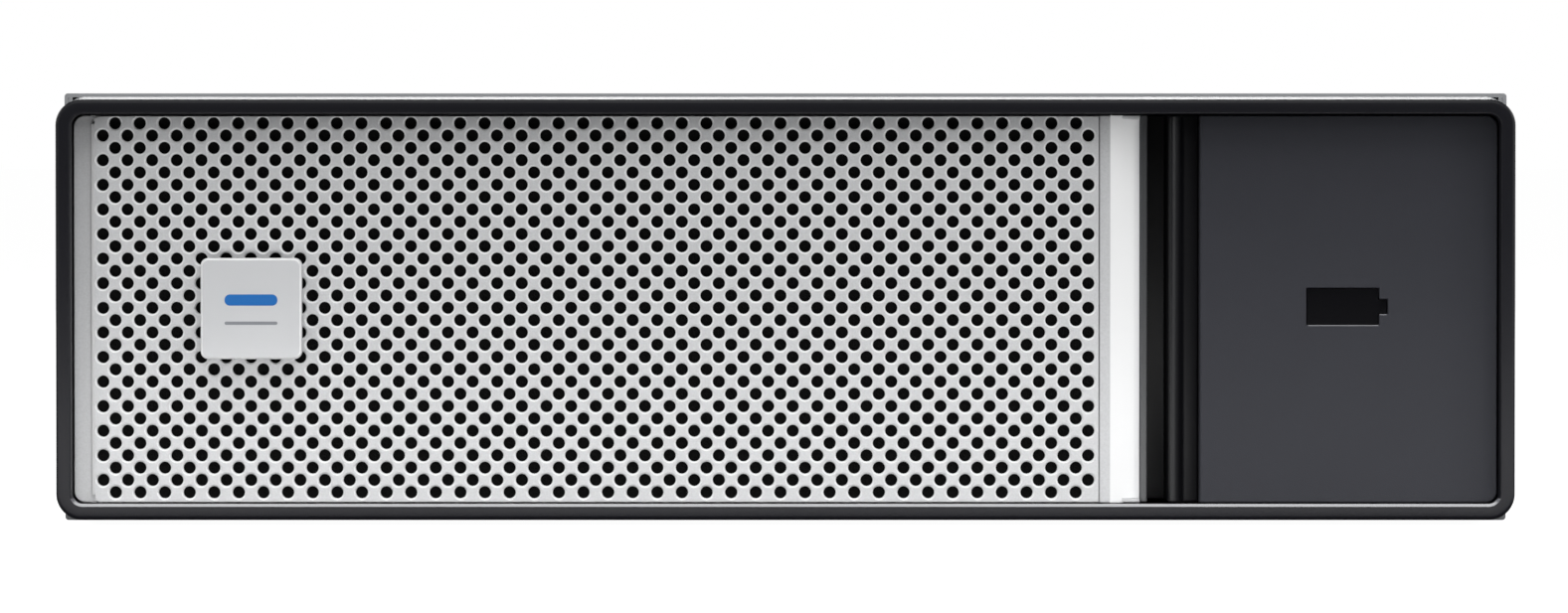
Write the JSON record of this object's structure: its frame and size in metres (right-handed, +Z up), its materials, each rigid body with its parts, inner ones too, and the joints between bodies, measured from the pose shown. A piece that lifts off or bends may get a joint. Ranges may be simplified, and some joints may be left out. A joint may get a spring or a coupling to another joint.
{
  "type": "server rack battery",
  "caption": "Rack battery module: steel case with a removable perforated front cover, two slide-out trays of sealed batteries and rear DC outlets.",
  "frame": {"origin": "middle of the underside of the case", "axes": "+X to the right seen from the front, +Y from the front to the rear, +Z up"},
  "size_m": [0.441, 0.497, 0.1307],
  "materials": {
    "case_metal": "satin",
    "plated_steel": "satin",
    "silver_plastic": "satin",
    "charcoal_plastic": "satin",
    "dark_trim": "satin",
    "smoked_lens": "gloss",
    "badge_silver": "satin",
    "black_nylon": "matte",
    "white_nylon": "satin",
    "battery_grey": "matte",
    "battery_lid": "matte",
    "cell_lead": "matte",
    "brass_contact": "polished",
    "red_sleeve": "satin",
    "black_sleeve": "satin",
    "circuit_board": "satin",
    "component_black": "satin",
    "fuse_ceramic": "satin",
    "screw_steel": "satin",
    "webbing": "matte"
  },
  "bodies": {
    "chassis": {"chassis_tray": "case_metal", "top_cover": "case_metal", "rear_panel": "case_metal", "bay_divider": "plated_steel", "slide_strips": "white_nylon", "centre_guide": "plated_steel", "cover_catch_rail": "plated_steel", "peg_sockets": "black_nylon", "socket_bracket": "plated_steel", "tray_sockets": "black_nylon", "socket_pins": "brass_contact", "bezel_rim": "charcoal_plastic", "bezel_body": "silver_plastic", "side_panel": "charcoal_plastic", "finger_recess": "charcoal_plastic", "window_lens": "smoked_lens", "status_board": "circuit_board", "case_screws": "screw_steel", "fuse_block": "black_nylon", "fuse_clips": "brass_contact", "fuses": "fuse_ceramic", "detection_board": "circuit_board", "board_components": "component_black", "board_standoffs": "brass_contact", "data_jacks": "black_nylon", "dc_outlet_housings": "black_nylon", "dc_outlet_pins": "brass_contact", "breaker_body": "black_nylon", "earth_stud": "brass_contact", "earth_nut": "brass_contact", "power_leads_red": "red_sleeve", "power_leads_black": "black_sleeve"},
    "front_cover": {"cover_frame": "silver_plastic", "grille_plate": "silver_plastic", "cover_trim": "dark_trim", "cover_pegs": "black_nylon"},
    "badge_tile": {"badge": "badge_silver", "badge_pivot": "black_nylon", "badge_clip": "plated_steel"},
    "retainer": {"battery_retainer": "plated_steel", "retainer_thumbscrews": "screw_steel"},
    "breaker_toggle": {"breaker_handle": "dark_trim"},
    "tray_left": {"battery_tray_left": "plated_steel", "battery_cases_left": "battery_grey", "battery_lids_left": "battery_lid", "cell_stacks_left": "cell_lead", "terminals_left": "brass_contact", "series_links_left": "black_sleeve", "tray_plug_left": "black_nylon", "tray_leads_left": "black_sleeve", "pull_tab_left": "webbing"},
    "tray_right": {"battery_tray_right": "plated_steel", "battery_cases_right": "battery_grey", "battery_lids_right": "battery_lid", "cell_stacks_right": "cell_lead", "terminals_right": "brass_contact", "series_links_right": "black_sleeve", "tray_plug_right": "black_nylon", "tray_leads_right": "black_sleeve", "pull_tab_right": "webbing"}
  },
  "joints": [
    {"name": "tray_left_slide", "type": "slide", "parent": "chassis", "child": "tray_left", "axis": [0, -1, 0], "range_m": [0, 0.46]},
    {"name": "tray_right_slide", "type": "slide", "parent": "chassis", "child": "tray_right", "axis": [0, -1, 0], "range_m": [0, 0.46]},
    {"name": "retainer_slide", "type": "slide", "parent": "chassis", "child": "retainer", "axis": [0, -1, 0], "range_m": [0, 0.6]},
    {"name": "front_cover_slide", "type": "slide", "parent": "chassis", "child": "front_cover", "axis": [0, -1, 0], "range_m": [0, 0.7]},
    {"name": "badge_turn", "type": "hinge", "parent": "front_cover", "child": "badge_tile", "pos_m": [-0.16155, -0.242, 0.0656], "axis": [0, 1, 0], "range_deg": [0, 90]},
    {"name": "breaker_throw", "type": "hinge", "parent": "chassis", "child": "breaker_toggle", "pos_m": [0.196, 0.236, 0.0675], "axis": [1, 0, 0], "range_deg": [-40, 0]}
  ],
  "couplings": [
    {"joint": "tray_right_slide", "follows": "tray_left_slide", "ratio": 1},
    {"joint": "retainer_slide", "follows": "tray_left_slide", "ratio": 1.3},
    {"joint": "front_cover_slide", "follows": "tray_left_slide", "ratio": 1.5}
  ]
}
